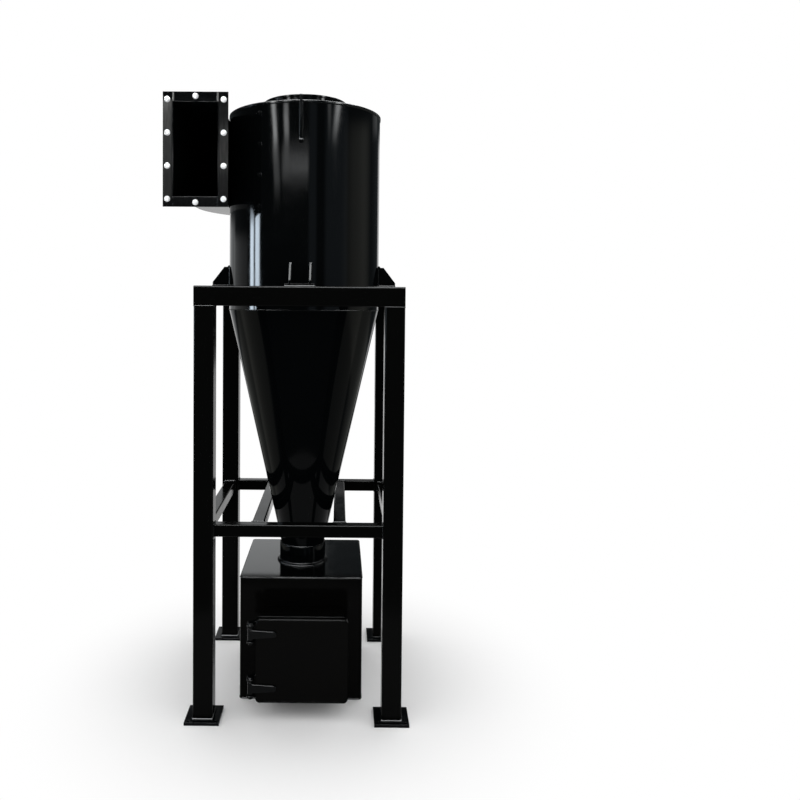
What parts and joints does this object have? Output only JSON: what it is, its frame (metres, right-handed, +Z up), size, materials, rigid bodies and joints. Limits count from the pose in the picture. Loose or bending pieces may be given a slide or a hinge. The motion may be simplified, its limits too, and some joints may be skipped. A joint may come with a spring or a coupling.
{
  "type": "cyclone dust separator",
  "caption": "Cyclone dust separator with a spiral inlet and tapered cone on a square-tube stand, above a dust box with a hinged door.",
  "frame": {"origin": "on the floor under the axis of the barrel", "axes": "+Z up along the barrel's axis, -Y to the front, where the inlet flange and the box door face, +X to the right of someone who looks at the front"},
  "size_m": [1.009, 0.894, 2.573],
  "materials": {
    "black_gloss_paint": "gloss",
    "black_rubber": "matte"
  },
  "bodies": {
    "separator": {"barrel_shell": "black_gloss_paint", "box_collar": "black_gloss_paint", "cone_shell": "black_gloss_paint", "cradle_beam_left": "black_gloss_paint", "cradle_beam_right": "black_gloss_paint", "door_frame": "black_gloss_paint", "door_gasket": "black_rubber", "dust_box_floor": "black_gloss_paint", "dust_box_neck": "black_gloss_paint", "dust_box_shell": "black_gloss_paint", "dust_box_top": "black_gloss_paint", "foot_plate_front_left": "black_gloss_paint", "foot_plate_front_right": "black_gloss_paint", "foot_plate_rear_left": "black_gloss_paint", "foot_plate_rear_right": "black_gloss_paint", "hinge_leaves": "black_gloss_paint", "inlet_bottom_plate": "black_gloss_paint", "inlet_flange": "black_gloss_paint", "inlet_inner_wall": "black_gloss_paint", "inlet_scroll_wall": "black_gloss_paint", "inlet_top_plate": "black_gloss_paint", "lifting_lug_front": "black_gloss_paint", "lifting_lug_rear": "black_gloss_paint", "mid_rail_front": "black_gloss_paint", "mid_rail_left": "black_gloss_paint", "mid_rail_rear": "black_gloss_paint", "mid_rail_right": "black_gloss_paint", "neck_sleeve": "black_gloss_paint", "outlet_tube": "black_gloss_paint", "post_front_left": "black_gloss_paint", "post_front_right": "black_gloss_paint", "post_rear_left": "black_gloss_paint", "post_rear_right": "black_gloss_paint", "roof_plate": "black_gloss_paint", "support_lug_front": "black_gloss_paint", "support_lug_left": "black_gloss_paint", "support_lug_rear": "black_gloss_paint", "support_lug_right": "black_gloss_paint", "top_rail_front": "black_gloss_paint", "top_rail_left": "black_gloss_paint", "top_rail_rear": "black_gloss_paint", "top_rail_right": "black_gloss_paint"},
    "box_door": {"dust_door": "black_gloss_paint", "hinge_straps": "black_gloss_paint"}
  },
  "joints": [
    {"name": "box_door_hinge", "type": "hinge", "parent": "separator", "child": "box_door", "pos_m": [-0.19, -0.398, 0.2425], "axis": [0, 0, -1], "range_deg": [0, 150]}
  ]
}
